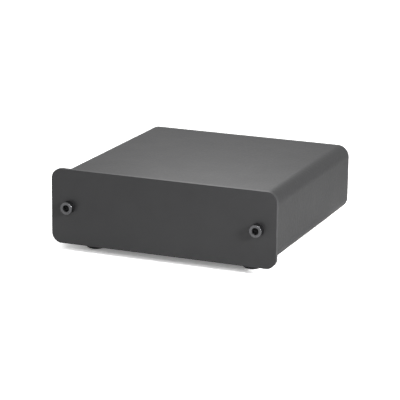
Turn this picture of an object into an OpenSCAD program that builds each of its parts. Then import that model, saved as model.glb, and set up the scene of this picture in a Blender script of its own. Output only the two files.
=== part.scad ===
// A small phono preamp for a shelf: a painted sleeve clamped between a front plate and a rear
// panel, with a circuit board on two rails, four line sockets, a power inlet, an earth terminal
// and two slide switches that are reached through windows in the underside.
// Millimetres, +Z up. The front faces -Y, and the sockets face +Y.
// The origin is on the surface it stands on, under the middle of the whole object.

/* [Case] */
// Width of the front plate
plate_w = 103; // [100:1:160]
// Height of the front plate
plate_h = 33; // [32:0.5:60]
// Thickness of the front plate
plate_t = 2; // [1.2:0.1:4]
// Corner radius of the front plate
plate_r = 4.5; // [2:0.5:8]
// Gap between the front plate and the surface below it
plate_lift = 4; // [2:0.5:10]
// How far the front plate stands out past the sleeve, all round
plate_overhang = 1.6; // [0.6:0.1:2.4]
// Depth of the case behind the front plate, with the rear panel
case_depth = 98; // [94:1:160]
// Outer corner radius of the sleeve and the rear panel
case_r = 5.4; // [3:0.2:8]
// Wall of the sleeve
case_wall = 1.2; // [0.8:0.1:1.8]
// Thickness of the rear panel
panel_t = 1.5; // [1:0.1:3]
// Broken outer edge of the front plate and the rear panel
edge_break = 0.3; // [0.1:0.05:0.6]

/* [Rails] */
// Distance from the end of the front plate to the axis of its screw
screw_inset = 8.25; // [7.5:0.25:10]
// Width and height of the boss that the plate screws enter
boss_w = 7; // [5.5:0.25:8]
// Thickness of the upright wall of a rail
web_t = 1.6; // [1:0.1:2.5]
// Thickness of the ledge that carries the circuit board
ledge_t = 2; // [1.2:0.1:2.6]
// Distance from the inner edge of the ledge to the board screw
ledge_edge = 3; // [2.2:0.1:4]

/* [Screws] */
// Nominal thread of all the case screws
thread_d = 3; // [2.5:0.1:3.2]
// Diameter of a socket cap head
cap_head_d = 5.5; // [5:0.1:6.5]
// Height of a socket cap head
cap_head_h = 3; // [2:0.1:4]
// Hexagon key size across the flats
cap_key_af = 2.5; // [2:0.1:3]
// Depth of the hexagon recess
cap_key_depth = 1.5; // [0.8:0.1:1.8]
// Length of a cap screw under its head
cap_screw_len = 12; // [8:1:18]
// Diameter of the heads on the board screws
pan_head_d = 5.5; // [4.5:0.1:6]
// Height of the heads on the board screws
pan_head_h = 1.8; // [1.4:0.1:2.4]

/* [Feet] */
// Diameter of a foot where it meets the sleeve
foot_d = 10; // [8:0.5:14]
// Diameter of the flat that stands on the surface
foot_base_d = 7; // [4:0.5:7.5]
// Distance from the end of the front plate to the middle of a foot
foot_side = 15; // [11:0.5:24]
// Distance from the outer faces of the plate and the panel to the middle of a foot
foot_end = 13; // [9:0.5:24]

/* [Circuit board] */
// Height of the board above the floor of the sleeve
board_lift = 4.2; // [3.8:0.1:6]
// Thickness of the circuit board
board_t = 1.6; // [1:0.1:2]
// Height of the line socket axes above the board
socket_axis_h = 7.9; // [6.5:0.1:8.2]
// Gap between the board and the upright walls of the rails
board_side_gap = 0.35; // [0.1:0.05:1]
// Gap between the board and the front plate
board_front_gap = 1; // [0.3:0.1:4]
// Gap between the board and the rear panel
board_rear_gap = 0.3; // [0.2:0.1:1]

/* [Line sockets] */
// Outer diameter of the metal barrel that the plug's ring slides over
barrel_d = 8.3; // [8:0.05:8.5]
// Length of the barrel outside its coloured collar
barrel_len = 10; // [7:0.5:12]
// Diameter of the insulating nose inside the barrel
nose_d = 6.9; // [5.5:0.1:7.2]
// Bore of the centre contact
contact_bore_d = 3.2; // [3.1:0.05:3.4]
// Outer diameter of the centre contact
contact_d = 4.2; // [3.8:0.1:4.6]
// Depth of the bore in the centre contact
contact_depth = 12; // [8:0.5:15]
// Diameter of the coloured collar
collar_d = 10.6; // [10.4:0.1:12]
// Thickness of the coloured collar outside the panel
collar_t = 1.2; // [0.8:0.1:2]
// Width of the moulded block behind the panel
socket_block_w = 10; // [8.5:0.1:11]
// Depth of the moulded block behind the panel
socket_block_d = 10; // [7:0.5:13]
// Height of the moulded block above the socket axis
socket_block_rise = 5; // [4.6:0.1:6.5]

/* [Power inlet] */
// Height of the inlet's axis above the board
power_axis_h = 6.5; // [5:0.1:7]
// Width of the moulded inlet
power_w = 9; // [8.4:0.1:10]
// Height of the moulded inlet
power_h = 11; // [10.6:0.1:12]
// Depth of the moulded inlet behind the panel
power_d = 11.2; // [9:0.1:14]
// Outer diameter of the round nose in the panel
power_nose_d = 8; // [7.4:0.1:8.4]
// Bore that the round plug enters
power_bore_d = 6.2; // [5.7:0.1:6.4]
// Diameter of the centre pin
power_pin_d = 2; // [1.6:0.1:2.5]

/* [Earth terminal] */
// Diameter of the threaded post
post_d = 4; // [3:0.1:4.4]
// Size of the hexagons across the flats
post_nut_af = 7; // [6:0.1:8]
// Thickness of the outer nut
post_nut_t = 2.2; // [1.6:0.1:3]
// Diameter of the washer
washer_d = 8.5; // [7:0.1:9.4]
// Thickness of the washer
washer_t = 0.8; // [0.5:0.1:1.4]
// Diameter over the ridges of the knob
knob_d = 9.5; // [8.4:0.1:11]
// Length of the knob
knob_len = 7; // [5:0.25:9]
// Number of ridges round the knob
knob_ridges = 24; // [12:2:36]

/* [Slide switches] */
// Distance of each switch from the middle of the case
switch_x = 12; // [9:0.5:15]
// Travel of a switch lever
switch_travel = 2; // [1.5:0.1:2.5]
// Width of a switch housing
switch_w = 8.6; // [8.4:0.1:10]
// Depth of a switch housing
switch_d = 4.4; // [4:0.1:5.5]
// Height of a switch housing under the board
switch_h = 2.8; // [2.4:0.1:3.2]
// Width and depth of the lever
lever_w = 2; // [1.2:0.1:2.2]
// How far the lever's tip stays inside the underside of the sleeve
lever_recess = 0.4; // [0.2:0.1:1]
// Width of a window in the underside
window_w = 12; // [11:0.5:14]
// Depth of a window in the underside
window_d = 6; // [5:0.5:9]

/* [Components] */
// Diameter of an electrolytic capacitor
can_d = 8; // [5:0.5:9]
// Height of an electrolytic capacitor
can_h = 11.5; // [7:0.5:13]
// Width of a film capacitor
film_w = 7.2; // [5:0.1:8]
// Depth of a film capacitor
film_d = 4.5; // [2.5:0.1:6]
// Height of a film capacitor
film_h = 8; // [5:0.5:11]
// Diameter of a resistor's body
resistor_d = 2.4; // [1.8:0.1:2.8]
// Length of a resistor's body
resistor_len = 6.3; // [5:0.1:7]
// Diameter of a diode's body
diode_d = 2.7; // [2:0.1:3]
// Length of a diode's body
diode_len = 5.2; // [4:0.1:6]

/* [Hidden] */
$fn = 96;

// Fits and small gaps
cut = 1;
thread_gap = 0.05;
shank_gap = 0.2;
press_gap = 0.05;
collar_gap = 0.1;
slide_gap = 0.1;
knob_gap = 0.05;
washer_gap = 0.3;
driver_gap = 1;

// Heights
z_mid = plate_lift + plate_h / 2;
case_w = plate_w - 2 * plate_overhang;
case_h = plate_h - 2 * plate_overhang;
z_case = z_mid - case_h / 2;
z_floor = z_case + case_wall;
z_board = z_floor + board_lift;
z_board_top = z_board + board_t;
z_socket = z_board_top + socket_axis_h;

// Outside the rear panel: the reach of the line sockets and of the earth terminal
post_tip = 0.9;
earth_reach = post_nut_t + washer_t + knob_len + post_tip;
socket_reach = collar_t + barrel_len;
rear_reach = max(earth_reach, socket_reach);
overall_d = cap_head_h + plate_t + case_depth + rear_reach;

// Stations from front to rear
y_plate = cap_head_h - overall_d / 2;
y_case = y_plate + plate_t;
y_rear = y_case + case_depth;
y_panel = y_rear - panel_t;
y_board = y_case + board_front_gap;
y_board_end = y_panel - board_rear_gap;
board_len = y_board_end - y_board;

// Rails
screw_x = plate_w / 2 - screw_inset;
rail_out_x = screw_x + boss_w / 2;
rail_in_x = screw_x - boss_w / 2;
web_in_x = rail_out_x - web_t;
board_screw_x = rail_in_x - driver_gap - pan_head_d / 2;
ledge_in_x = board_screw_x - ledge_edge;
board_half_w = web_in_x - board_side_gap;
thread_depth = cap_screw_len + cut;
board_screw_y_shares = [0.11, 0.76];
board_screw_tip = 0.8;
cap_head_break = 0.3;
pan_cross_w = 0.7;
pan_cross_len_share = 0.55;
pan_cross_depth_share = 0.5;
pan_rim_share = 0.45;
pan_top_share = 0.5;

// Feet
foot_x = plate_w / 2 - foot_side;
foot_front_y = y_plate + foot_end;
foot_rear_y = y_rear - foot_end;
foot_round = 1;
foot_steps = 6;

// The row along the rear panel runs from +x to -x between the rail bosses, with equal gaps
row_count = 6;
row_filled = 4 * collar_d + knob_d + power_w;
row_gap = (2 * rail_in_x - row_filled) / (row_count + 1);
collar_pitch = collar_d + row_gap;
in_left_x = rail_in_x - row_gap - collar_d / 2;
in_right_x = in_left_x - collar_pitch;
earth_x = in_right_x - collar_d / 2 - row_gap - knob_d / 2;
out_left_x = earth_x - knob_d / 2 - row_gap - collar_d / 2;
out_right_x = out_left_x - collar_pitch;
power_x = out_right_x - collar_d / 2 - row_gap - power_w / 2;

// Line sockets
barrel_r = barrel_d / 2;
barrel_break = 0.25;
barrel_neck_step = 0.2;
barrel_plate_t = 0.8;
barrel_plate_gap = 0.4;
barrel_plate_edge = 0.2;
shoulder_wall = 0.7;
shoulder_d = barrel_d + 2 * shoulder_wall;
panel_hole_d = shoulder_d + 2 * collar_gap;
nose_recess = 0.5;
nose_lip = 0.8;
nose_lip_gap = 0.8;
tail_t = 0.5;
tail_w = 1.6;
y_barrel_plate = y_panel - barrel_plate_gap - barrel_plate_t;
y_block = y_barrel_plate - socket_block_d;
y_barrel_tip = y_rear + socket_reach;
y_nose_tip = y_barrel_tip - nose_recess;
y_contact_tip = y_nose_tip - nose_lip;

// Power inlet
z_power = z_board_top + power_axis_h;
power_panel_gap = 0.3;
power_back_t = 1.2;
power_nose_out = 0.3;
power_nose_gap = 0.2;
power_pin_recess = 0.8;
power_pin_break = 0.3;
spring_t = 0.3;
spring_w = 2.4;
spring_recess = 3;
y_power_end = y_panel - power_panel_gap;
y_power = y_power_end - power_d;
y_power_tip = y_rear + power_nose_out;

// Earth terminal
post_r = post_d / 2;
post_head_t = 2.8;
post_break = 0.3;
post_hole_gap = 0.2;
tag_t = 0.6;
tag_w = 8;
tag_leg_w = 3;
tag_foot_len = 3;
knob_neck_len = 1;
knob_neck_share = 0.84;
knob_ridge = 0.3;
y_tag = y_panel - tag_t;
y_washer = y_rear + post_nut_t;
y_knob = y_washer + washer_t;
y_knob_end = y_knob + knob_len;
y_post_tip = y_knob_end + post_tip;

// Slide switches
switch_y_share = 0.452;
switch_y = y_board + switch_y_share * board_len;
switch_lip = 0.5;
lever_base_w = 5;
lever_base_d = 2.6;
lever_base_h = 1;
switch_pin_d = 0.6;
switch_pin_pitch = 2.5;
switch_pin_out = 0.8;
switch_pin_root = 0.4;
z_switch = z_board - switch_h;
z_lever_tip = z_case + lever_recess;

// Components, with their places as shares of the board's half width and of its length
lead_d = 0.6;
lead_len = 1.6;
lead_rise = 0.4;
can_groove_z = 1.6;
can_groove_w = 1;
can_groove_depth = 0.4;
can_break = 0.5;
can_place_shares = [[-0.69, 0.52], [-0.43, 0.52], [-0.69, 0.63], [-0.43, 0.63], [-0.16, 0.66], [-0.16, 0.78]];
film_place_shares = [for (row = [0.26, 0.37], col = [0.05, 0.275, 0.5, 0.725]) [col, row]];
chip_w = 6.4;
chip_len = 9.6;
chip_h = 3.3;
chip_lift = 0.6;
chip_pitch = 2.54;
chip_leg_w = 0.5;
chip_leg_out = 0.85;
chip_notch_d = 1.6;
chip_notch_depth = 0.5;
chip_place_shares = [[0.18, 0.57], [0.54, 0.57]];
regulator_w = 10;
regulator_len = 9;
regulator_h = 4.4;
regulator_tab_len = 6.2;
regulator_tab_t = 1.3;
regulator_hole_d = 3.6;
regulator_leg_w = 0.8;
regulator_leg_t = 0.5;
regulator_leg_len = 4;
regulator_leg_z = 2.4;
regulator_pitch = 2.54;
regulator_place_shares = [[-0.67, 0.26], [-0.36, 0.26]];
resistor_place_shares = [for (row = [0.1, 0.145, 0.19, 0.69, 0.73, 0.77], col = [0.18, 0.5]) [col, row]];
diode_place_shares = [[-0.5, 0.76], [-0.5, 0.81]];

// A flat outline, x across and z up, carried from y0 to y1
module along_y(y0, y1) {
  translate([0, y1, 0])
    rotate([90, 0, 0])
      linear_extrude(height = y1 - y0)
        children();
}

module rod_y(r, y0, y1) {
  translate([0, y0, 0])
    rotate([-90, 0, 0])
      cylinder(r = r, h = y1 - y0);
}

module hex_y(af, y0, y1) {
  translate([0, y0, 0])
    rotate([-90, 0, 0])
      cylinder(r = af / sqrt(3), h = y1 - y0, $fn = 6);
}

// A turned shape about the y axis: points are [radius, distance along +y from y0]
module turned_y(y0, points) {
  translate([0, y0, 0])
    rotate([-90, 0, 0])
      rotate_extrude()
        polygon(points);
}

module block(low, high) {
  translate(low)
    cube(high - low);
}

module rounded(w, h, r) {
  square([w - 2 * r, h], center = true);
  square([w, h - 2 * r], center = true);
  for (sx = [-1, 1], sz = [-1, 1])
    translate([sx * (w / 2 - r), sz * (h / 2 - r)])
      circle(r = r);
}

module both_sides() {
  children();
  mirror([1, 0, 0])
    children();
}

// A plate with round corners, its front face at y = 0 with a broken edge, its back at y = t
module broken_plate(w, h, t, r, c) {
  for (sx = [-1, 1], sz = [-1, 1])
    translate([sx * (w / 2 - r), 0, sz * (h / 2 - r)])
      turned_y(0, [[0, 0], [r - c, 0], [r, c], [r, t], [0, t]]);
  translate([0, 0, r - h / 2])
    linear_extrude(height = h - 2 * r)
      polygon([[c - w / 2, 0], [w / 2 - c, 0], [w / 2, c], [w / 2, t], [-w / 2, t], [-w / 2, c]]);
  translate([r - w / 2, 0, 0])
    rotate([90, 0, 90])
      linear_extrude(height = w - 2 * r)
        polygon([[0, c - h / 2], [0, h / 2 - c], [c, h / 2], [t, h / 2], [t, -h / 2], [c, -h / 2]]);
}

module front_plate() {
  color("#3b3b3c")
    difference() {
      translate([0, y_plate, z_mid])
        broken_plate(plate_w, plate_h, plate_t, plate_r, edge_break);
      both_sides()
        translate([screw_x, 0, z_mid])
          rod_y(thread_d / 2 + shank_gap, y_plate - cut, y_case + cut);
    }
}

module case_sleeve() {
  color("#4a4a4b")
    difference() {
      translate([0, 0, z_mid])
        along_y(y_case, y_panel)
          difference() {
            rounded(case_w, case_h, case_r);
            rounded(case_w - 2 * case_wall, case_h - 2 * case_wall, case_r - case_wall);
          }
      both_sides()
        translate([switch_x, switch_y, 0])
          block([-window_w / 2, -window_d / 2, z_case - cut], [window_w / 2, window_d / 2, z_floor + cut]);
    }
}

module rear_panel() {
  color("#3f3f40")
    difference() {
      translate([0, y_rear, z_mid])
        mirror([0, 1, 0])
          broken_plate(case_w, case_h, panel_t, case_r, edge_break);
      both_sides()
        translate([screw_x, 0, z_mid])
          rod_y(thread_d / 2 + shank_gap, y_panel - cut, y_rear + cut);
      for (x = [in_left_x, in_right_x, out_left_x, out_right_x])
        at_socket(x)
          rod_y(panel_hole_d / 2, y_panel - cut, y_rear + cut);
      at_earth()
        rod_y(post_r + post_hole_gap, y_panel - cut, y_rear + cut);
      at_power()
        rod_y(power_nose_d / 2 + power_nose_gap, y_panel - cut, y_rear + cut);
    }
}

// The right-hand rail, as long as the sleeve, with a tapped hole in each end
module rail() {
  difference() {
    along_y(y_case, y_panel)
      polygon([
        [ledge_in_x, z_board - ledge_t],
        [rail_out_x, z_board - ledge_t],
        [rail_out_x, z_mid + boss_w / 2],
        [rail_in_x, z_mid + boss_w / 2],
        [rail_in_x, z_mid - boss_w / 2],
        [web_in_x, z_mid - boss_w / 2],
        [web_in_x, z_board],
        [ledge_in_x, z_board]
      ]);
    translate([screw_x, 0, z_mid]) {
      rod_y(thread_d / 2 + thread_gap, y_case - cut, y_plate + thread_depth);
      rod_y(thread_d / 2 + thread_gap, y_rear - thread_depth, y_panel + cut);
    }
    for (share = board_screw_y_shares)
      translate([board_screw_x, y_board + share * board_len, z_board - ledge_t - cut])
        cylinder(r = thread_d / 2 + thread_gap, h = ledge_t + 2 * cut);
  }
}

module left_rail() {
  color("#b9bcc0")
    mirror([1, 0, 0])
      rail();
}

module right_rail() {
  color("#b9bcc0")
    rail();
}

// A socket cap screw with its head towards -y and the underside of the head at y = 0
module cap_screw() {
  head_r = cap_head_d / 2;
  difference() {
    union() {
      turned_y(-cap_head_h, [
        [0, 0],
        [head_r - cap_head_break, 0],
        [head_r, cap_head_break],
        [head_r, cap_head_h],
        [0, cap_head_h]
      ]);
      rod_y(thread_d / 2, 0, cap_screw_len);
    }
    hex_y(cap_key_af, -cap_head_h - cut, cap_key_depth - cap_head_h);
  }
}

module front_screws() {
  color("#232325")
    both_sides()
      translate([screw_x, y_plate, z_mid])
        cap_screw();
}

module rear_screws() {
  color("#232325")
    both_sides()
      translate([screw_x, y_rear, z_mid])
        mirror([0, 1, 0])
          cap_screw();
}

module board_screws() {
  head_r = pan_head_d / 2;
  rim_h = pan_rim_share * pan_head_h;
  top_r = pan_top_share * head_r;
  cross_len = pan_cross_len_share * pan_head_d;
  cross_depth = pan_cross_depth_share * pan_head_h;
  shank_len = board_t + ledge_t + board_screw_tip;
  color("#c6c8cb")
    both_sides()
      for (share = board_screw_y_shares)
        translate([board_screw_x, y_board + share * board_len, z_board_top])
          difference() {
            union() {
              rotate_extrude()
                polygon([[0, 0], [head_r, 0], [head_r, rim_h], [top_r, pan_head_h], [0, pan_head_h]]);
              translate([0, 0, -shank_len])
                cylinder(r = thread_d / 2, h = shank_len);
            }
            for (turn = [0, 90])
              rotate([0, 0, turn])
                block(
                  [-cross_len / 2, -pan_cross_w / 2, pan_head_h - cross_depth],
                  [cross_len / 2, pan_cross_w / 2, pan_head_h + cut]
                );
          }
}

// A tapered rubber foot whose lower edge is a quarter circle
module foot(x, y) {
  base_r = foot_base_d / 2;
  bend = [for (i = [0:foot_steps])
    let (a = 90 * i / foot_steps)
    [base_r + foot_round * sin(a), foot_round * (1 - cos(a))]
  ];
  color("#1f1f20")
    translate([x, y, 0])
      rotate_extrude()
        polygon(concat([[0, 0]], bend, [[foot_d / 2, z_case], [0, z_case]]));
}

module foot_front_left() {
  foot(-foot_x, foot_front_y);
}

module foot_front_right() {
  foot(foot_x, foot_front_y);
}

module foot_rear_left() {
  foot(-foot_x, foot_rear_y);
}

module foot_rear_right() {
  foot(foot_x, foot_rear_y);
}

module circuit_board() {
  color("#1f5a35")
    difference() {
      block([-board_half_w, y_board, z_board], [board_half_w, y_board_end, z_board_top]);
      both_sides() {
        for (share = board_screw_y_shares)
          translate([board_screw_x, y_board + share * board_len, z_board - cut])
            cylinder(r = thread_d / 2 + shank_gap, h = board_t + 2 * cut);
        for (i = [-1, 0, 1])
          translate([switch_x + i * switch_pin_pitch, switch_y, z_board - cut])
            cylinder(r = switch_pin_d / 2 + slide_gap, h = board_t + 2 * cut);
      }
    }
}

// Line sockets, each about its own axis at x = 0 and z = 0

module socket_barrel() {
  half_w = socket_block_w / 2 - barrel_plate_edge;
  y_plate_end = y_barrel_plate + barrel_plate_t;
  neck_len = y_rear + collar_t - y_plate_end;
  neck_r = barrel_r - barrel_neck_step;
  length = neck_len + barrel_len;
  difference() {
    union() {
      block([-half_w, y_barrel_plate, -socket_axis_h], [half_w, y_plate_end, half_w]);
      turned_y(y_plate_end, [
        [0, 0],
        [neck_r, 0],
        [neck_r, neck_len],
        [barrel_r, neck_len],
        [barrel_r, length - barrel_break],
        [barrel_r - barrel_break, length],
        [0, length]
      ]);
    }
    rod_y(nose_d / 2 + press_gap, y_barrel_plate - cut, y_barrel_tip + cut);
  }
}

module socket_collar() {
  difference() {
    union() {
      rod_y(collar_d / 2, y_rear, y_rear + collar_t);
      rod_y(shoulder_d / 2, y_panel, y_rear + collar_t / 2);
    }
    rod_y(barrel_r + press_gap, y_panel - cut, y_rear + collar_t + cut);
  }
}

module socket_body() {
  half_w = socket_block_w / 2;
  difference() {
    union() {
      block([-half_w, y_block, -socket_axis_h], [half_w, y_barrel_plate, socket_block_rise]);
      rod_y(nose_d / 2, y_barrel_plate - cut, y_nose_tip);
    }
    rod_y(contact_d / 2 + press_gap, y_block - cut, y_contact_tip);
    turned_y(y_contact_tip, [
      [0, -cut],
      [contact_bore_d / 2, -cut],
      [contact_bore_d / 2, 0],
      [contact_bore_d / 2 + nose_lip_gap, nose_lip],
      [contact_bore_d / 2 + nose_lip_gap, nose_lip + cut],
      [0, nose_lip + cut]
    ]);
  }
}

module socket_contact() {
  difference() {
    union() {
      rod_y(contact_d / 2, y_block - tail_t, y_contact_tip);
      block([-tail_w / 2, y_block - tail_t, -socket_axis_h], [tail_w / 2, y_block, 0]);
    }
    rod_y(contact_bore_d / 2, y_contact_tip - contact_depth, y_contact_tip + cut);
  }
}

module at_socket(x) {
  translate([x, 0, z_socket])
    children();
}

module gilt() {
  color("#c9a24b")
    children();
}

module white_plastic() {
  color("#e6e4de")
    children();
}

module red_plastic() {
  color("#b3201f")
    children();
}

module black_plastic() {
  color("#1c1c1d")
    children();
}

module in_left_barrel() {
  gilt() at_socket(in_left_x) socket_barrel();
}

module in_left_collar() {
  white_plastic() at_socket(in_left_x) socket_collar();
}

module in_left_body() {
  black_plastic() at_socket(in_left_x) socket_body();
}

module in_left_contact() {
  gilt() at_socket(in_left_x) socket_contact();
}

module in_right_barrel() {
  gilt() at_socket(in_right_x) socket_barrel();
}

module in_right_collar() {
  red_plastic() at_socket(in_right_x) socket_collar();
}

module in_right_body() {
  black_plastic() at_socket(in_right_x) socket_body();
}

module in_right_contact() {
  gilt() at_socket(in_right_x) socket_contact();
}

module out_left_barrel() {
  gilt() at_socket(out_left_x) socket_barrel();
}

module out_left_collar() {
  white_plastic() at_socket(out_left_x) socket_collar();
}

module out_left_body() {
  black_plastic() at_socket(out_left_x) socket_body();
}

module out_left_contact() {
  gilt() at_socket(out_left_x) socket_contact();
}

module out_right_barrel() {
  gilt() at_socket(out_right_x) socket_barrel();
}

module out_right_collar() {
  red_plastic() at_socket(out_right_x) socket_collar();
}

module out_right_body() {
  black_plastic() at_socket(out_right_x) socket_body();
}

module out_right_contact() {
  gilt() at_socket(out_right_x) socket_contact();
}

// Power inlet: a moulded block with a round bore, a centre pin and a side spring

module at_power() {
  translate([power_x, 0, z_power])
    children();
}

module power_inlet() {
  half_w = power_w / 2;
  bore_r = power_bore_d / 2;
  y_bore_end = y_power + power_back_t;
  black_plastic()
    at_power()
      difference() {
        union() {
          block([-half_w, y_power, -power_axis_h], [half_w, y_power_end, power_h - power_axis_h]);
          rod_y(power_nose_d / 2, y_power_end - cut, y_power_tip);
        }
        rod_y(bore_r, y_bore_end, y_power_tip + cut);
        rod_y(power_pin_d / 2 + press_gap, y_power - cut, y_bore_end + cut);
        block(
          [0, y_power - cut, -spring_w / 2 - press_gap],
          [bore_r + spring_t + press_gap, y_power_tip - spring_recess + press_gap, spring_w / 2 + press_gap]
        );
      }
}

module power_pin() {
  pin_r = power_pin_d / 2;
  length = y_power_tip - power_pin_recess - y_power + tail_t;
  color("#c9ccd0")
    at_power() {
      turned_y(y_power - tail_t, [
        [0, 0],
        [pin_r, 0],
        [pin_r, length - power_pin_break],
        [pin_r - power_pin_break, length],
        [0, length]
      ]);
      block([-tail_w / 2, y_power - tail_t, -power_axis_h], [tail_w / 2, y_power, 0]);
    }
}

module power_spring() {
  bore_r = power_bore_d / 2;
  color("#c9ccd0")
    at_power() {
      block(
        [bore_r, y_power - tail_t, -spring_w / 2],
        [bore_r + spring_t, y_power_tip - spring_recess, spring_w / 2]
      );
      block(
        [bore_r, y_power - tail_t, -power_axis_h],
        [bore_r + spring_t, y_power, spring_w / 2]
      );
    }
}

// Earth terminal: a headed post through the panel, its nut, a washer and a knurled knob

module at_earth() {
  translate([earth_x, 0, z_socket])
    children();
}

module earth_post() {
  length = y_post_tip - y_tag;
  gilt()
    at_earth() {
      hex_y(post_nut_af, y_tag - post_head_t, y_tag);
      turned_y(y_tag, [
        [0, 0],
        [post_r, 0],
        [post_r, length - post_break],
        [post_r - post_break, length],
        [0, length]
      ]);
    }
}

module earth_tag() {
  half_w = tag_w / 2;
  gilt()
    at_earth()
      difference() {
        union() {
          block([-half_w, y_tag, -half_w], [half_w, y_panel, half_w]);
          block([-tag_leg_w / 2, y_tag, -socket_axis_h], [tag_leg_w / 2, y_panel, 0]);
          block(
            [-tag_leg_w / 2, y_panel - tag_foot_len, -socket_axis_h],
            [tag_leg_w / 2, y_panel, tag_t - socket_axis_h]
          );
        }
        rod_y(post_r + press_gap, y_tag - cut, y_panel + cut);
      }
}

module earth_nut() {
  gilt()
    at_earth()
      difference() {
        hex_y(post_nut_af, y_rear, y_washer);
        rod_y(post_r, y_rear - cut, y_washer + cut);
      }
}

module earth_washer() {
  gilt()
    at_earth()
      difference() {
        rod_y(washer_d / 2, y_washer, y_knob);
        rod_y(post_r + washer_gap, y_washer - cut, y_knob + cut);
      }
}

module earth_knob() {
  steps = 2 * knob_ridges;
  ridge_points = [for (i = [0:steps - 1])
    let (r = knob_d / 2 - (i % 2) * knob_ridge)
    [r * cos(360 * i / steps), r * sin(360 * i / steps)]
  ];
  gilt()
    at_earth()
      difference() {
        union() {
          rod_y(knob_neck_share * knob_d / 2, y_knob, y_knob + knob_neck_len);
          along_y(y_knob + knob_neck_len, y_knob_end)
            polygon(ridge_points);
        }
        rod_y(post_r + knob_gap, y_knob - cut, y_knob_end + cut);
      }
}

// Slide switches: a housing under the board, and a lever that slides along x in its cavity

module gain_switch() {
  cavity_x = (lever_base_w + switch_travel) / 2 + slide_gap;
  cavity_y = lever_base_d / 2 + slide_gap;
  slot_x = (lever_w + switch_travel) / 2 + slide_gap;
  slot_y = lever_w / 2 + slide_gap;
  z_lip = z_switch + switch_lip;
  color("#2b2b2d") {
    difference() {
      block([-switch_w / 2, -switch_d / 2, z_switch], [switch_w / 2, switch_d / 2, z_board]);
      block([-cavity_x, -cavity_y, z_lip], [cavity_x, cavity_y, z_lip + lever_base_h + 2 * slide_gap]);
      block([-slot_x, -slot_y, z_switch - cut], [slot_x, slot_y, z_lip + slide_gap]);
    }
    for (i = [-1, 0, 1])
      translate([i * switch_pin_pitch, 0, z_board - switch_pin_root])
        cylinder(r = switch_pin_d / 2, h = switch_pin_root + board_t + switch_pin_out);
  }
}

module gain_lever() {
  z_base = z_switch + switch_lip + slide_gap;
  white_plastic()
    translate([-switch_travel / 2, 0, 0]) {
      block(
        [-lever_base_w / 2, -lever_base_d / 2, z_base],
        [lever_base_w / 2, lever_base_d / 2, z_base + lever_base_h]
      );
      block([-lever_w / 2, -lever_w / 2, z_lever_tip], [lever_w / 2, lever_w / 2, z_base + slide_gap]);
    }
}

module gain_switch_left() {
  translate([-switch_x, switch_y, 0])
    gain_switch();
}

module gain_switch_right() {
  translate([switch_x, switch_y, 0])
    gain_switch();
}

module gain_lever_left() {
  translate([-switch_x, switch_y, 0])
    gain_lever();
}

module gain_lever_right() {
  translate([switch_x, switch_y, 0])
    gain_lever();
}

// Components that stand on the board

module at_board(place) {
  translate([place[0] * board_half_w, y_board + place[1] * board_len, z_board_top])
    children();
}

module electrolytic_capacitors() {
  r = can_d / 2;
  profile = [
    [0, 0],
    [r, 0],
    [r, can_groove_z],
    [r - can_groove_depth, can_groove_z + can_groove_w / 2],
    [r, can_groove_z + can_groove_w],
    [r, can_h - can_break],
    [r - can_break, can_h],
    [0, can_h]
  ];
  color("#24303f")
    for (place = can_place_shares)
      at_board(place)
        rotate_extrude()
          polygon(profile);
}

module film_capacitors() {
  color("#a32a22")
    for (place = film_place_shares)
      at_board(place)
        block([-film_w / 2, -film_d / 2, 0], [film_w / 2, film_d / 2, film_h]);
}

module chip() {
  half_w = chip_w / 2;
  leg_z = chip_lift + chip_h / 2;
  difference() {
    block([-half_w, -chip_len / 2, chip_lift], [half_w, chip_len / 2, chip_lift + chip_h]);
    translate([0, -chip_len / 2, chip_lift + chip_h - chip_notch_depth])
      cylinder(r = chip_notch_d / 2, h = chip_notch_depth + cut);
  }
  both_sides()
    for (i = [-1.5:1:1.5])
      translate([half_w, i * chip_pitch, 0]) {
        block([-chip_leg_w, -chip_leg_w / 2, leg_z - chip_leg_w], [chip_leg_out, chip_leg_w / 2, leg_z]);
        block([chip_leg_out - chip_leg_w, -chip_leg_w / 2, 0], [chip_leg_out, chip_leg_w / 2, leg_z]);
      }
}

module amplifier_chips() {
  color("#202022")
    for (place = chip_place_shares)
      at_board(place)
        chip();
}

// A flat-lying package: the tab to the front, the body behind it, three legs bent to the board
module regulator() {
  half_w = regulator_w / 2;
  body_y = regulator_tab_len - (regulator_tab_len + regulator_len) / 2;
  leg_y = body_y + regulator_len;
  leg_end = leg_y + regulator_leg_len;
  difference() {
    union() {
      block([-half_w, body_y - regulator_tab_len, 0], [half_w, leg_y - regulator_tab_t, regulator_tab_t]);
      block([-half_w, body_y, 0], [half_w, leg_y, regulator_h]);
    }
    translate([0, body_y - regulator_tab_len / 2, -cut])
      cylinder(r = regulator_hole_d / 2, h = regulator_tab_t + 2 * cut);
  }
  for (i = [-1, 0, 1])
    translate([i * regulator_pitch, 0, 0]) {
      block(
        [-regulator_leg_w / 2, leg_y - regulator_leg_t, regulator_leg_z],
        [regulator_leg_w / 2, leg_end, regulator_leg_z + regulator_leg_t]
      );
      block(
        [-regulator_leg_w / 2, leg_end - regulator_leg_t, 0],
        [regulator_leg_w / 2, leg_end, regulator_leg_z + regulator_leg_t]
      );
    }
}

module voltage_regulators() {
  color("#2a2a2c")
    for (place = regulator_place_shares)
      at_board(place)
        regulator();
}

// A body on a wire that lies along x and turns down to the board at both ends
module axial_part(d, length) {
  span = length / 2 + lead_len;
  axis_z = d / 2 + lead_rise;
  translate([-length / 2, 0, axis_z])
    rotate([0, 90, 0])
      cylinder(r = d / 2, h = length);
  translate([-span, 0, axis_z])
    rotate([0, 90, 0])
      cylinder(r = lead_d / 2, h = 2 * span);
  for (side = [-1, 1])
    translate([side * (span - lead_d / 2), 0, 0])
      cylinder(r = lead_d / 2, h = axis_z);
}

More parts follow.
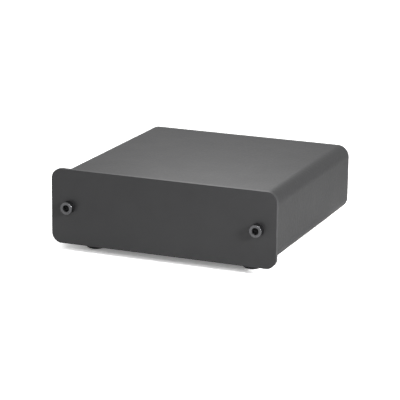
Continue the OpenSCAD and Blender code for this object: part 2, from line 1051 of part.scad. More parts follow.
module resistors() {
  color("#7fa6c9")
    for (place = resistor_place_shares)
      at_board(place)
        axial_part(resistor_d, resistor_len);
}

module diodes() {
  color("#262628")
    for (place = diode_place_shares)
      at_board(place)
        axial_part(diode_d, diode_len);
}

front_plate();
case_sleeve();
rear_panel();
left_rail();
right_rail();
front_screws();
rear_screws();
board_screws();
circuit_board();
foot_front_left();
foot_front_right();
foot_rear_left();
foot_rear_right();
in_left_barrel();
in_left_collar();
in_left_body();
in_left_contact();
in_right_barrel();
in_right_collar();
in_right_body();
in_right_contact();
out_left_barrel();
out_left_collar();
out_left_body();
out_left_contact();
out_right_barrel();
out_right_collar();
out_right_body();
out_right_contact();
power_inlet();
power_pin();
power_spring();
earth_post();
earth_tag();
earth_nut();
earth_washer();
earth_knob();
gain_switch_left();
gain_switch_right();
gain_lever_left();
gain_lever_right();
electrolytic_capacitors();
film_capacitors();
amplifier_chips();
voltage_regulators();
resistors();
diodes();
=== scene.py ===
import math
import bmesh
import bpy
import numpy as np
from mathutils import Matrix, Vector
from mathutils.geometry import tessellate_polygon


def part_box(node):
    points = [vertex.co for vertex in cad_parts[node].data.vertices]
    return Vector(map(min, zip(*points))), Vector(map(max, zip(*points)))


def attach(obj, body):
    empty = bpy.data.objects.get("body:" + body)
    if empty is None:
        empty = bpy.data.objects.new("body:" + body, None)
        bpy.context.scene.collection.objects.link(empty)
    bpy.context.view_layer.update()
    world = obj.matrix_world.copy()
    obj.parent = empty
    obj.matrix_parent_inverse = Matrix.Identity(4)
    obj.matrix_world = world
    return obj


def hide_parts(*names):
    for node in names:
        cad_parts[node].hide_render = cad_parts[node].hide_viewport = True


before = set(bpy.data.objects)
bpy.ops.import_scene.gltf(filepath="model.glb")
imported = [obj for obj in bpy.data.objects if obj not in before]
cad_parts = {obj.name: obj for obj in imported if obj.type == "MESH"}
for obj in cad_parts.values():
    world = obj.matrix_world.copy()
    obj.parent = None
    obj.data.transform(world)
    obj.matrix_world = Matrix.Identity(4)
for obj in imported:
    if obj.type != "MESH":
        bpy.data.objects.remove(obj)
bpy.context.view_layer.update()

print("stage: frame loaded,", len(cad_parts), "nodes")

# Lengths in this file are millimetres until a mesh is made, as the fixed frame is in metres.
# The frame stands on z = 0, its front plate faces -y and its sockets face +y.


def linear(hexColour):
    # sRGB hex to linear light: c / 12.92 near black, ((c + 0.055) / 1.055) to the power 2.4 above
    c = np.array([int(hexColour[i:i + 2], 16) for i in (1, 3, 5)]) / 255
    c = np.where(c <= 0.04045, c / 12.92, ((c + 0.055) / 1.055) ** 2.4)
    return (*c.tolist(), 1.0)


def addNode(tree, kind, inputs=None, **settings):
    # inputs are values, sockets, or nodes, whose first live output is then meant
    node = tree.nodes.new("ShaderNode" + kind)
    for key, value in settings.items():
        setattr(node, key, value)
    for key, value in (inputs or {}).items():
        if isinstance(value, bpy.types.Node):
            value = next(socket for socket in value.outputs if socket.enabled)
        if isinstance(value, bpy.types.NodeSocket):
            tree.links.new(value, node.inputs[key])
        else:
            node.inputs[key].default_value = value
    return node


def newObject(name, data):
    thing = bpy.data.objects.new(name, data)
    bpy.context.collection.objects.link(thing)
    return thing


# ---- camera, room and light

cameraPlace = {
    "position": (307.09, -763.13, 234.04),
    "yaw": 0.38782,        # radians to the left of +y
    "pitch": 0.25994,      # radians below the horizon
    "roll": 0.01097,
    "lens": 171.45,
    "sensor": 36,
}


def makeCamera(v):
    yaw, pitch, roll = v["yaw"], v["pitch"], v["roll"]
    forward = Vector((-math.sin(yaw) * math.cos(pitch), math.cos(yaw) * math.cos(pitch), -math.sin(pitch)))
    right = Vector((math.cos(yaw), math.sin(yaw), 0))
    up = right.cross(forward)
    across = math.cos(roll) * right + math.sin(roll) * up
    above = math.cos(roll) * up - math.sin(roll) * right
    data = bpy.data.cameras.new("camera")
    data.lens = v["lens"]
    data.sensor_width = v["sensor"]
    data.sensor_fit = "HORIZONTAL"
    data.clip_start = 0.01
    data.clip_end = 50
    camera = newObject("camera", data)
    place = Matrix((across, above, -forward)).transposed().to_4x4()
    place.translation = Vector(v["position"]) / 1000
    camera.matrix_world = place
    bpy.context.scene.camera = camera


makeCamera(cameraPlace)
bpy.context.scene.view_settings.view_transform = "Standard"

room = {
    "skyToSurfaces": 0.38,   # white surroundings as matt surfaces receive them
    "skyInGloss": 1.0,       # as glossy surfaces see them near the horizon
    "skyOverhead": 0.8,      # and higher up, where a room is dimmer than its white backdrop
    "lowHeight": 0.05,       # sine of the elevation where the dimming starts
    "fullHeight": 0.6,       # and where it ends
    "floorColour": "#e6e6e6",
    "floorGain": 2.4,        # the floor seen by the lens alone, so that all but its darkest shadow clears to white
    "floorLift": 0.22,       # glow added where the lens sees it
    "floorInGloss": 0.15,    # and where gloss or glass sees it
    "floorSize": 6,          # metres
}


def seenBy(tree):
    # 1 where the lens sees a point, and 1 where gloss or glass does
    path = addNode(tree, "LightPath").outputs
    mirrored = addNode(tree, "Math", {0: path["Is Glossy Ray"], 1: path["Is Transmission Ray"]}, operation="MAXIMUM")
    return path["Is Camera Ray"], mirrored


def makeSky(v):
    # white for the lens, a white that dims upwards for gloss and glass, and one grey for matt surfaces
    world = bpy.context.scene.world or bpy.data.worlds.new("surroundings")
    bpy.context.scene.world = world
    world.use_nodes = True
    tree = world.node_tree
    tree.nodes.clear()
    lens, mirrored = seenBy(tree)
    direction = addNode(tree, "TexCoord").outputs["Generated"]
    height = addNode(tree, "SeparateXYZ", {"Vector": direction}).outputs["Z"]
    inGloss = addNode(tree, "MapRange", {"Value": height, "From Min": v["lowHeight"], "From Max": v["fullHeight"],
                                         "To Min": v["skyInGloss"], "To Max": v["skyOverhead"]})
    indirect = addNode(tree, "MapRange", {"Value": mirrored, "To Min": v["skyToSurfaces"], "To Max": inGloss})
    strength = addNode(tree, "MapRange", {"Value": lens, "To Min": indirect, "To Max": 1.0})
    sky = addNode(tree, "Background", {"Color": (1, 1, 1, 1), "Strength": strength})
    addNode(tree, "OutputWorld", {"Surface": sky})


def makeFloor(v):
    # matt pale board that keeps the soft shadow; the lens sees it brighter than matt surfaces do
    material = bpy.data.materials.new("paleMattBoard")
    material.use_nodes = True
    tree = material.node_tree
    tree.nodes.clear()
    base = np.array(linear(v["floorColour"])[:3])
    lens, mirrored = seenBy(tree)
    colour = addNode(tree, "Mix", {"Factor": lens, 6: (*base, 1), 7: (*(base * v["floorGain"]), 1)},
                     data_type="RGBA", clamp_factor=True)
    matt = addNode(tree, "BsdfDiffuse", {"Color": colour})
    inGloss = addNode(tree, "Math", {0: mirrored, 1: v["floorInGloss"]}, operation="MULTIPLY")
    lift = addNode(tree, "MapRange", {"Value": lens, "To Min": inGloss, "To Max": v["floorLift"]})
    glow = addNode(tree, "Emission", {"Color": (1, 1, 1, 1), "Strength": lift})
    both = addNode(tree, "AddShader", {0: matt, 1: glow})
    addNode(tree, "OutputMaterial", {"Surface": both})
    half = v["floorSize"] / 2
    mesh = bpy.data.meshes.new("floor")
    mesh.from_pydata([(-half, -half, 0), (half, -half, 0), (half, half, 0), (-half, half, 0)], [], [(0, 1, 2, 3)])
    mesh.materials.append(material)
    floor = newObject("floor", mesh)


lamps = {
    # radiance is what the lamp's face shows, against a white wall at 1
    "frontKey": {"position": (200, -1500, 800), "aim": (0, 0, 10), "size": 300, "radiance": 27.5},
    "sideFill": {"position": (480, -250, 230), "aim": (0, 0, 10), "size": 110, "radiance": 112},
    "overhead": {"position": (-20, 50, 150), "aim": (0, -40, 30), "size": 90, "radiance": 6.1},
}


def makeLamp(name, v):
    # power of a square lamp from the brightness of its face: pi times radiance times area
    data = bpy.data.lights.new(name, "AREA")
    data.shape = "SQUARE"
    data.size = v["size"] / 1000
    data.energy = math.pi * v["radiance"] * data.size ** 2
    lamp = newObject(name, data)
    place, aim = Vector(v["position"]) / 1000, Vector(v["aim"]) / 1000
    lamp.matrix_world = Matrix.Translation(place) @ (aim - place).to_track_quat("-Z", "Y").to_matrix().to_4x4()


makeSky(room)
makeFloor(room)
for lampName, lampValues in lamps.items():
    makeLamp(lampName, lampValues)
print("stage: camera, room and light")


# ---- materials

def startMaterial(name):
    # a new material, its node tree and a coordinate in metres that stays with the piece
    material = bpy.data.materials.new(name)
    material.use_nodes = True
    tree = material.node_tree
    tree.nodes.clear()
    place = addNode(tree, "TexCoord").outputs["Object"]
    return material, tree, place


def perMetre(millimetres):
    # texture scale whose pattern repeats about once in the given length
    return 1000 / millimetres


def finishSurface(tree, v, colour, relief, wear=None, more=None):
    # the end that the finishes share: gloss that follows a pattern where one is given, a bump and the shader; noise
    # lies mostly between 0.3 and 0.7, so that range takes the whole spread
    gloss = v["roughness"]
    if wear is not None:
        gloss = addNode(tree, "MapRange", {"Value": wear, "From Min": 0.3, "From Max": 0.7,
                                           "To Min": gloss - v["spread"], "To Max": gloss + v["spread"]})
    bump = addNode(tree, "Bump", {"Height": relief, "Strength": v["strength"], "Distance": v["depth"] / 1000})
    shader = addNode(tree, "BsdfPrincipled", {"Base Color": colour, "Roughness": gloss, "Normal": bump,
                                              **(more or {})})
    addNode(tree, "OutputMaterial", {"Surface": shader})


def paintedMetal(name, v):
    # baked paint on sheet metal: pigment specks, a faint cloud in the tone, and a grain that softens every reflection
    material, tree, place = startMaterial(name)
    cloud, speck, grain = [addNode(tree, "TexNoise", {"Vector": place, "Scale": perMetre(v[part]), "Detail": detail,
                                                      "Roughness": rough})
                           for part, detail, rough in (("cloud", 2, 0.5), ("speck", 3, 0.6), ("grain", 2, 0.55))]
    mixed = addNode(tree, "Mix", {"Factor": v["speckShare"], 2: cloud, 3: speck}, data_type="FLOAT")
    tone = addNode(tree, "ValToRGB", {"Fac": mixed})
    for stop, position, colour in zip(tone.color_ramp.elements, (0.32, 0.68), (v["dark"], v["light"])):
        stop.position, stop.color = position, linear(colour)
    finishSurface(tree, v, tone, grain, mixed, {"IOR": v["ior"]})
    return material


# Satin stove enamel on the aluminium plate, sprayed and baked: nearly black, even, with a soft mirror of what is near
satinEnamel = paintedMetal("satinStoveEnamel", {
    "dark": "#272728", "light": "#2b2b2c", "cloud": 14, "speck": 0.9, "speckShare": 0.35, "roughness": 0.35,
    "spread": 0.02, "grain": 0.9, "strength": 0.1, "depth": 0.002, "ior": 1.43})

# The same enamel where it reached the sawn rim of the plate as dry overspray: rougher, and a little darker as painted
# shade, so the rim's highlight hardly stands out
shadedRimEnamel = paintedMetal("roughRimEnamelWithPaintedShade", {
    "dark": "#232324", "light": "#28282a", "cloud": 14, "speck": 0.9, "speckShare": 0.35, "roughness": 0.48,
    "spread": 0.04, "grain": 0.6, "strength": 0.5, "depth": 0.01, "ior": 1.42})

# Powder coat on the sleeve, fused in an oven: the same black with an orange-peel grain that catches light at a low
# angle; the grain is drawn at 1.3 mm, coarser than the real 0.5 mm, so that it still shows from the camera
powderCoat = paintedMetal("texturedPowderCoat", {
    "dark": "#1e1e1f", "light": "#262627", "cloud": 18, "speck": 0.7, "speckShare": 0.5, "roughness": 0.5,
    "spread": 0.05, "grain": 1.3, "strength": 0.8, "depth": 0.08, "ior": 1.38})

# Powder coat on the rear panel, a little smoother than the sleeve's, so that its white print stays sharp
panelCoat = paintedMetal("finePowderCoat", {
    "dark": "#232324", "light": "#2a2a2b", "cloud": 16, "speck": 0.8, "speckShare": 0.4, "roughness": 0.46,
    "spread": 0.03, "grain": 0.6, "strength": 0.35, "depth": 0.01, "ior": 1.5})


def barMetal(name, v):
    # bare or plated metal: its colour drifts a little, and fine marks along one axis vary how it mirrors
    material, tree, place = startMaterial(name)
    marks = addNode(tree, "Mapping", {"Vector": place, "Scale": v["stretch"]})
    line = addNode(tree, "TexNoise", {"Vector": marks, "Scale": perMetre(v["mark"]), "Detail": 3, "Roughness": 0.6})
    cloud = addNode(tree, "TexNoise", {"Vector": place, "Scale": perMetre(v["cloud"]), "Detail": 2})
    tone = addNode(tree, "Mix", {"Factor": cloud, 6: linear(v["dark"]), 7: linear(v["light"])}, data_type="RGBA")
    finishSurface(tree, v, tone, line, line, {"Metallic": v["metallic"]})
    return material


# Alloy steel blackened in hot salts: a thin dark oxide, still metal below, with a slight oil sheen on the edges
blackenedSteel = barMetal("blackenedSteel", {
    "dark": "#565658", "light": "#6c6c6e", "metallic": 1.0, "stretch": (1, 0.4, 1), "mark": 0.35, "cloud": 2.5,
    "roughness": 0.24, "spread": 0.07, "strength": 0.35, "depth": 0.01})

# The same oxide where the tools left the steel rough, in the key recess and on the knurl: dry, and nearly black,
# partly its own colour and partly painted shade of the deep recess and of the knurled side
roughOxideWithPaintedShade = barMetal("roughOxideWithPaintedShade", {
    "dark": "#0f0f11", "light": "#171719", "metallic": 0.6, "stretch": (1, 0.2, 1), "mark": 0.3, "cloud": 2.5,
    "roughness": 0.7, "spread": 0.06, "strength": 0.5, "depth": 0.02})

# Zinc plated steel, barrel plated and passivated: pale blue-grey with a soft bright sheen
zincPlate = barMetal("zincPlatedSteel", {
    "dark": "#c3c8cc", "light": "#d6d9dc", "metallic": 1.0, "stretch": (1, 1, 1), "mark": 0.4, "cloud": 2,
    "roughness": 0.3, "spread": 0.06, "strength": 0.25, "depth": 0.004})

# Extruded aluminium as it leaves the die: pale grey with faint straight lines along its length
extrudedAluminium = barMetal("extrudedAluminium", {
    "dark": "#c6c8ca", "light": "#d8dadc", "metallic": 1.0, "stretch": (1, 0.03, 1), "mark": 0.5, "cloud": 8,
    "roughness": 0.38, "spread": 0.08, "strength": 0.35, "depth": 0.006})

# Gold flash over turned brass: warm yellow, very smooth, with fine turning marks round its length
goldPlate = barMetal("goldPlatedBrass", {
    "dark": "#e3b65a", "light": "#f0c872", "metallic": 1.0, "stretch": (0.1, 1, 0.1), "mark": 0.3, "cloud": 3,
    "roughness": 0.2, "spread": 0.05, "strength": 0.2, "depth": 0.003})

# Nickel plated brass strip and pin: a warm grey mirror
nickelPlate = barMetal("nickelPlatedBrass", {
    "dark": "#bdb8ae", "light": "#d0ccc3", "metallic": 1.0, "stretch": (1, 0.3, 1), "mark": 0.3, "cloud": 2,
    "roughness": 0.24, "spread": 0.05, "strength": 0.2, "depth": 0.003})


def mouldedPlastic(name, v):
    # moulded polymer: a fine spark-eroded grain from the mould, and a faint change of tone where it flowed
    material, tree, place = startMaterial(name)
    flow = addNode(tree, "TexNoise", {"Vector": place, "Scale": perMetre(v["flow"]), "Detail": 2, "Distortion": 0.6})
    tone = addNode(tree, "Mix", {"Factor": flow, 6: linear(v["dark"]), 7: linear(v["light"])}, data_type="RGBA")
    grain = addNode(tree, "TexVoronoi", {"Vector": place, "Scale": perMetre(v["grain"])})
    finishSurface(tree, v, tone, grain, flow, {"IOR": v["ior"]})
    return material


# Nitrile rubber feet, pressed in a mould: matt, deep grey, with a dry chalky grain
nitrileRubber = mouldedPlastic("nitrileRubber", {
    "dark": "#191919", "light": "#232323", "flow": 3, "grain": 0.25, "strength": 0.5, "depth": 0.02,
    "roughness": 0.78, "spread": 0.06, "ior": 1.52})

# Glass-filled polyamide of the sockets, the inlet and the switches: black, half matt, slightly mottled by the fibres
filledPolyamide = mouldedPlastic("glassFilledPolyamide", {
    "dark": "#1a1a1b", "light": "#262627", "flow": 1.2, "grain": 0.18, "strength": 0.35, "depth": 0.01,
    "roughness": 0.45, "spread": 0.07, "ior": 1.53})

# Acetal of the white collars and the levers: milky white, waxy and smooth
whiteAcetal = mouldedPlastic("whiteAcetal", {
    "dark": "#dedbd2", "light": "#ebe9e2", "flow": 4, "grain": 0.3, "strength": 0.15, "depth": 0.006,
    "roughness": 0.36, "spread": 0.04, "ior": 1.48})

# Acetal of the red collars, dyed in the melt: even signal red, waxy and smooth
redAcetal = mouldedPlastic("redAcetal", {
    "dark": "#a81a18", "light": "#bd2420", "flow": 4, "grain": 0.3, "strength": 0.15, "depth": 0.006,
    "roughness": 0.36, "spread": 0.04, "ior": 1.48})

# Polyester box of the film capacitors, filled with resin: dark red, glossy
polyesterBox = mouldedPlastic("polyesterBox", {
    "dark": "#9a231c", "light": "#ad2d24", "flow": 5, "grain": 0.4, "strength": 0.12, "depth": 0.005,
    "roughness": 0.28, "spread": 0.04, "ior": 1.52})


tinnedWire = "#cfcfcb"


def leadedPart(name, v):
    # a body between bare tinned leads: a point's distance along the part from the middle of its body, folded where two
    # rows stand side by side, picks the body's colour, its bands or the bare metal
    material, tree, place = startMaterial(name)
    half = v["half"] / 1000
    along = addNode(tree, "SeparateXYZ", {"Vector": place}).outputs[v["axis"]]
    offset = addNode(tree, "Math", {0: along, 1: v["middle"] / 1000}, operation="SUBTRACT")
    if v["apart"]:
        fold = addNode(tree, "Math", {0: offset}, operation="ABSOLUTE")
        offset = addNode(tree, "Math", {0: fold, 1: v["apart"] / 1000}, operation="SUBTRACT")
    distance = addNode(tree, "Math", {0: offset}, operation="ABSOLUTE")
    bare = addNode(tree, "Math", {0: distance, 1: half}, operation="GREATER_THAN")
    share = addNode(tree, "MapRange", {"Value": offset, "From Min": -half, "From Max": half})
    band = addNode(tree, "ValToRGB", {"Fac": share})
    band.color_ramp.interpolation = "CONSTANT"
    stops = band.color_ramp.elements
    stops[0].color = linear(v["body"])
    stops.remove(stops[1])
    for start, end, colour in v["bands"]:
        stops.new(start).color = linear(colour)
        stops.new(end).color = linear(v["body"])
    colour = addNode(tree, "Mix", {"Factor": bare, 6: band, 7: linear(tinnedWire)}, data_type="RGBA")
    grain = addNode(tree, "TexNoise", {"Vector": place, "Scale": perMetre(v["grain"]), "Detail": 3})
    finishSurface(tree, v, colour, grain, grain, {"Metallic": bare})
    return material


def alongBox(node, axis):
    # middle and half length of a node's box along one axis
    low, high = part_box(node)
    return (low[axis] + high[axis]) * 500, (high[axis] - low[axis]) * 500


boardParts = {"lead": 1.6, "resistorHalf": 3.15, "diodeHalf": 2.6, "chipHalf": 3.2, "chipLeg": 0.85,
              "tabLength": 6.2, "regulatorHalf": 4.5}
resistorMiddle, resistorReach = alongBox("resistors", 0)
chipMiddle, chipReach = alongBox("amplifier_chips", 0)
regulatorMiddle, regulatorReach = alongBox("voltage_regulators", 1)
diodeMiddle = alongBox("diodes", 0)[0]

# Lacquer over the film resistors, dipped and cured: light blue with a thin gloss, five printed rings and tinned wires
resistorLacquer = leadedPart("dippedLacquer", {
    "axis": "X", "middle": resistorMiddle, "half": boardParts["resistorHalf"],
    "apart": resistorReach - boardParts["resistorHalf"] - boardParts["lead"], "body": "#79abcb",
    "bands": [(0.12, 0.2, "#5b3420"), (0.28, 0.36, "#1a1a1a"), (0.44, 0.52, "#1a1a1a"), (0.6, 0.68, "#a3271f"),
              (0.82, 0.9, "#5b3420")],
    "grain": 0.6, "roughness": 0.3, "spread": 0.06, "strength": 0.2, "depth": 0.01})

# Novolac epoxy of the chips, transfer moulded round a tinned frame: dull black with a fine tooth, bright legs
chipEpoxy = leadedPart("mouldedEpoxyChip", {
    "axis": "X", "middle": chipMiddle, "half": boardParts["chipHalf"],
    "apart": chipReach - boardParts["chipHalf"] - boardParts["chipLeg"], "body": "#232325", "bands": [],
    "grain": 0.15, "roughness": 0.55, "spread": 0.06, "strength": 0.5, "depth": 0.01})

# The same epoxy on the regulators, with a bare tinned tab in front and three legs behind
regulatorEpoxy = leadedPart("mouldedEpoxyRegulator", {
    "axis": "Y", "middle": regulatorMiddle - regulatorReach + boardParts["tabLength"] + boardParts["regulatorHalf"],
    "half": boardParts["regulatorHalf"], "apart": 0, "body": "#232325", "bands": [],
    "grain": 0.15, "roughness": 0.5, "spread": 0.06, "strength": 0.5, "depth": 0.01})

# Epoxy round the diodes with a printed silver ring at the end that the current leaves by
diodeEpoxy = leadedPart("mouldedEpoxyDiode", {
    "axis": "X", "middle": diodeMiddle, "half": boardParts["diodeHalf"], "apart": 0, "body": "#222224",
    "bands": [(0.76, 0.9, "#b9b9b7")], "grain": 0.2, "roughness": 0.45, "spread": 0.06, "strength": 0.4,
    "depth": 0.01})


def canFilm(name, v):
    # film shrunk round the sides of the cans, with faint ripples; above one height the can's own metal is bare
    material, tree, place = startMaterial(name)
    height = addNode(tree, "SeparateXYZ", {"Vector": place}).outputs["Z"]
    top = addNode(tree, "Math", {0: height, 1: v["topHeight"] / 1000}, operation="GREATER_THAN")
    ripple = addNode(tree, "TexNoise", {"Vector": place, "Scale": perMetre(v["ripple"]), "Detail": 2})
    tone = addNode(tree, "Mix", {"Factor": ripple, 6: linear(v["dark"]), 7: linear(v["light"])}, data_type="RGBA")
    colour = addNode(tree, "Mix", {"Factor": top, 6: tone, 7: linear(v["top"])}, data_type="RGBA")
    finishSurface(tree, v, colour, ripple, more={"Metallic": top})
    return material


# Vinyl film shrunk on the aluminium cans: dark blue and glossy, over a bare grey top
vinylFilm = canFilm("shrunkVinylFilm", {
    "dark": "#1c2a44", "light": "#24355a", "top": "#a4a7a9", "topHeight": 23.8, "ripple": 1.5, "roughness": 0.3,
    "strength": 0.3, "depth": 0.04})


def wovenLaminate(name, v):
    # cloth under resin: one wave across for the warp times one along for the weft
    material, tree, place = startMaterial(name)
    warp, weft = [addNode(tree, "TexWave", {"Vector": place, "Scale": perMetre(v["wave"]), "Distortion": 0.4},
                          wave_type="BANDS", bands_direction=way).outputs["Fac"] for way in "XY"]
    weave = addNode(tree, "Math", {0: warp, 1: weft}, operation="MULTIPLY")
    tone = addNode(tree, "Mix", {"Factor": weave, 6: linear(v["dark"]), 7: linear(v["light"])}, data_type="RGBA")
    finishSurface(tree, v, tone, weave, more={"IOR": v["ior"]})
    return material


# Glass cloth and epoxy under green resist: the weave shows as a fine square ripple, 0.5 mm a thread, for which the
# wave node wants 3.1 mm
laminate = wovenLaminate("glassEpoxyLaminate", {
    "dark": "#1b5a33", "light": "#246b3e", "wave": 3.1, "roughness": 0.35, "strength": 0.25, "depth": 0.02,
    "ior": 1.55})


def printedInk(name, v):
    # ink pressed through a mesh, whose threads leave pinholes
    material, tree, place = startMaterial(name)
    pin = addNode(tree, "TexNoise", {"Vector": place, "Scale": perMetre(v["pinhole"]), "Detail": 2})
    tone = addNode(tree, "ValToRGB", {"Fac": pin})
    for stop, position, colour in zip(tone.color_ramp.elements, (0.25, 0.5), (v["dark"], v["light"])):
        stop.position, stop.color = position, linear(colour)
    shader = addNode(tree, "BsdfPrincipled", {"Base Color": tone, "Roughness": v["roughness"]})
    addNode(tree, "OutputMaterial", {"Surface": shader})
    return material


# White epoxy ink, screen printed on the rear panel: matt, with tiny pinholes from the mesh, 0.2 mm apart
ink = printedInk("screenPrintInk", {"dark": "#b9b9b7", "light": "#e4e4e1", "pinhole": 0.2, "roughness": 0.6})
print("stage: materials")


# ---- surfaces

outerReach = 1.4    # where a softened corner's two extra points stand, in shares of its size
turnSteps = 96      # points round a turned piece


def millimetreBox(node):
    low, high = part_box(node)
    return np.array(low) * 1000, np.array(high) * 1000


def middle(node):
    low, high = millimetreBox(node)
    return (low + high) / 2


def gridFaces(rows, cols):
    # quads of a grid whose rows are closed round: a point, the next in its row, and the same two in the next row
    i = np.arange(rows - 1)[:, None] * cols
    j = np.arange(cols)[None, :]
    k = (j + 1) % cols
    return np.stack(np.broadcast_arrays(i + j, i + k, i + cols + k, i + cols + j), axis=-1)


def softened(points, size, steps=4):
    # a profile whose inner corners become short curves: (1-s)^2 A + 2s(1-s) P + s^2 B, where A and B lie on the two
    # sides at the given size from corner P, with one more point on each side just outside the curve
    p = np.asarray(points, float)
    size = np.broadcast_to(size, len(p) - 2)[:, None]
    before, after = p[:-2] - p[1:-1], p[2:] - p[1:-1]
    before /= np.linalg.norm(before, axis=1, keepdims=True)
    after /= np.linalg.norm(after, axis=1, keepdims=True)
    a, b = p[1:-1] + before * size, p[1:-1] + after * size
    s = np.linspace(0, 1, steps + 1)[None, :, None]
    curve = (1 - s) ** 2 * a[:, None] + 2 * s * (1 - s) * p[1:-1, None] + s ** 2 * b[:, None]
    outer = np.stack([p[1:-1] + before * size * outerReach, p[1:-1] + after * size * outerReach], axis=1)
    rows = np.concatenate([outer[:, :1], curve, outer[:, 1:]], axis=1).reshape(-1, 2)
    return np.concatenate([p[:1], rows, p[-1:]])


def roundedOutline(width, height, radius, inset, steps=10, near=0.35):
    # closed outlines of a rectangle with round corners, one for each inset: corner centre plus (radius - inset) times
    # the unit vector at each angle of the quarter, with one more point on the straights at both ends of an arc
    reach = radius - np.atleast_1d(np.asarray(inset, float))[:, None]
    turn = np.linspace(0, np.pi / 2, steps + 1)[None, :]
    one = np.ones_like(reach)
    u = np.concatenate([reach, reach * np.cos(turn), -near * one], axis=1)
    v = np.concatenate([-near * one, reach * np.sin(turn), reach], axis=1)
    cx, cz = width / 2 - radius, height / 2 - radius
    quarters = [(cx + u, cz + v), (-cx - v, cz + u), (-cx - u, -cz - v), (cx + v, -cz - u)]
    return np.stack([np.concatenate([q[n] for q in quarters], axis=1) for n in (0, 1)], axis=-1)


def loopSurface(loops, stations, centre):
    # closed outlines round a centre, carried along y, each to its own station
    y = np.broadcast_to(np.asarray(stations, float)[:, None], loops.shape[:2])
    points = np.stack([loops[..., 0] + centre[0], y, loops[..., 1] + centre[1]], axis=-1)
    return points.reshape(-1, 3), gridFaces(*loops.shape[:2]).reshape(-1, 4)


def turnOf(steps):
    # equal steps of angle round one turn
    return np.linspace(0, 2 * np.pi, steps, endpoint=False)


def ringSurface(radius, station, place):
    # rows of radii and stations round the y axis: x = r cos a, z = r sin a, y = station
    angle = turnOf(radius.shape[1])
    points = np.stack([radius * np.cos(angle), station, radius * np.sin(angle)], axis=-1) + np.asarray(place, float)
    return points.reshape(-1, 3), gridFaces(*radius.shape).reshape(-1, 4)


def turnedSurface(profile, place, steps=turnSteps, radiusAt=None):
    # a profile of (radius, station) turned about the y axis, where radiusAt may change the radius with the angle and
    # the station
    profile, around = np.asarray(profile, float), np.ones(steps)
    radius, station = profile[:, :1] * around, profile[:, 1:] * around
    if radiusAt is not None:
        radius = radiusAt(radius, turnOf(steps), station)
    return ringSurface(radius, station, place)


def closedTurned(profile, place, size, steps=turnSteps, radiusAt=None, curveSteps=3):
    # the same for a ring or a tube: the profile comes back to its start on a straight side
    p = np.asarray(profile, float)
    start = (p[:1] + p[-1:]) / 2
    rows = softened(np.concatenate([start, p, start]), size, curveSteps)
    return turnedSurface(rows, place, steps, radiusAt)


def flatWithHoles(loops, station, axis=1):
    # a flat face inside the first outline and outside the others, filled with triangles at one station of an axis
    triangles = tessellate_polygon([[(a, b, 0) for a, b in loop.tolist()] for loop in loops])
    return np.insert(np.concatenate(loops), axis, station, axis=1), np.array([tuple(t) for t in triangles])


def circleLoop(x, z, radius, steps):
    # points round a circle: x + r cos a, z + r sin a
    angle = turnOf(steps)
    return np.stack([x + radius * np.cos(angle), z + radius * np.sin(angle)], axis=-1)


def plateWithHoles(width, height, radius, front, back, centre, holes, edges, steps):
    # a plate between two stations: a round-cornered edge carried through them, turned walls for its round holes, and
    # two flat faces; edges gives the rounding at the front rim, the back rim and the holes
    rim = 1.3 * max(edges[0], edges[1], 0.15) * outerReach
    rows = softened([(rim, front), (0, front), (0, back), (rim, back)], edges[:2])
    loops = roundedOutline(width, height, radius, rows[:, 0], steps)
    patches, circles = [loopSurface(loops, rows[:, 1], centre)], []
    for x, z, r, count in holes:
        wide = r + 2 * edges[2]
        wall = softened([(wide, front), (r, front), (r, back), (wide, back)], edges[2])
        patches.append(turnedSurface(wall, (x, 0, z), count))
        circles.append(circleLoop(x, z, wide, count))
    return patches + [flatWithHoles([loops[0] + centre] + circles, front),
                      flatWithHoles([loops[-1] + centre] + circles, back)]


def blockWithTube(node, centre, end, corner, rims, edges, profile, axis):
    # a round-cornered block from the low end of a node's box to a station, and a turned profile that begins in the
    # block's first face and ends in its last; one that begins on its axis leaves the first face whole
    low, high = millimetreBox(node)
    rows = softened([(rims[0], low[1]), (0, low[1]), (0, end), (rims[1], end)], edges, 3)
    loops = roundedOutline(high[0] - low[0], high[2] - low[2], corner, rows[:, 0], 4)
    patches = [turnedSurface(profile, (axis[0], 0, axis[1])), loopSurface(loops, rows[:, 1], centre)]
    for loop, station, radius in ((loops[0], low[1], profile[0, 0]), (loops[-1], end, profile[-1, 0])):
        hole = [circleLoop(*axis, radius, turnSteps)] if radius > 0 else []
        patches.append(flatWithHoles([loop + centre] + hole, station))
    return patches


def dress(node, material):
    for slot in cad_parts[node].material_slots:
        slot.material = material


def makePiece(name, patches, material, node, body="chassis", sharp=38, inner=None, innerPatches=()):
    # patches of points with quads or triangles, joined where their rims meet, closed and turned outwards, in one
    # smooth mesh that stands for a node; inner is the finish of the patches whose numbers are in innerPatches
    merge = 0.0004 / 1000    # metres within which two rims are one
    starts = np.cumsum([0] + [len(p) for p, f in patches[:-1]])
    points = np.concatenate([p for p, f in patches]) / 1000
    faces = [face for (p, f), start in zip(patches, starts) for face in (f + start).tolist()]
    mesh = bpy.data.meshes.new(name)
    mesh.from_pydata(points.tolist(), [], faces)
    mesh.polygons.foreach_set("material_index", np.concatenate([
        np.full(len(f), n in innerPatches, np.int32) for n, (p, f) in enumerate(patches)]))
    work = bmesh.new()
    work.from_mesh(mesh)
    bmesh.ops.remove_doubles(work, verts=work.verts, dist=merge)
    bmesh.ops.dissolve_degenerate(work, edges=work.edges, dist=merge / 2)
    bmesh.ops.recalc_face_normals(work, faces=work.faces)
    openEdges = sum(1 for e in work.edges if len(e.link_faces) != 2)
    work.to_mesh(mesh)
    work.free()
    mesh.validate()
    mesh.shade_smooth()
    mesh.set_sharp_from_angle(angle=math.radians(sharp))
    mesh.materials.append(material)
    if inner:
        mesh.materials.append(inner)
    piece = newObject(name, mesh)
    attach(piece, body)
    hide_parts(node)
    dress(node, material)
    print("  piece", name, len(mesh.polygons), "faces, open edges", openEdges)


def joinedName(kind, words):
    # "foot" and "rear_left" make footRearLeft
    return kind + "".join(word.capitalize() for word in words.split("_"))


# ---- case

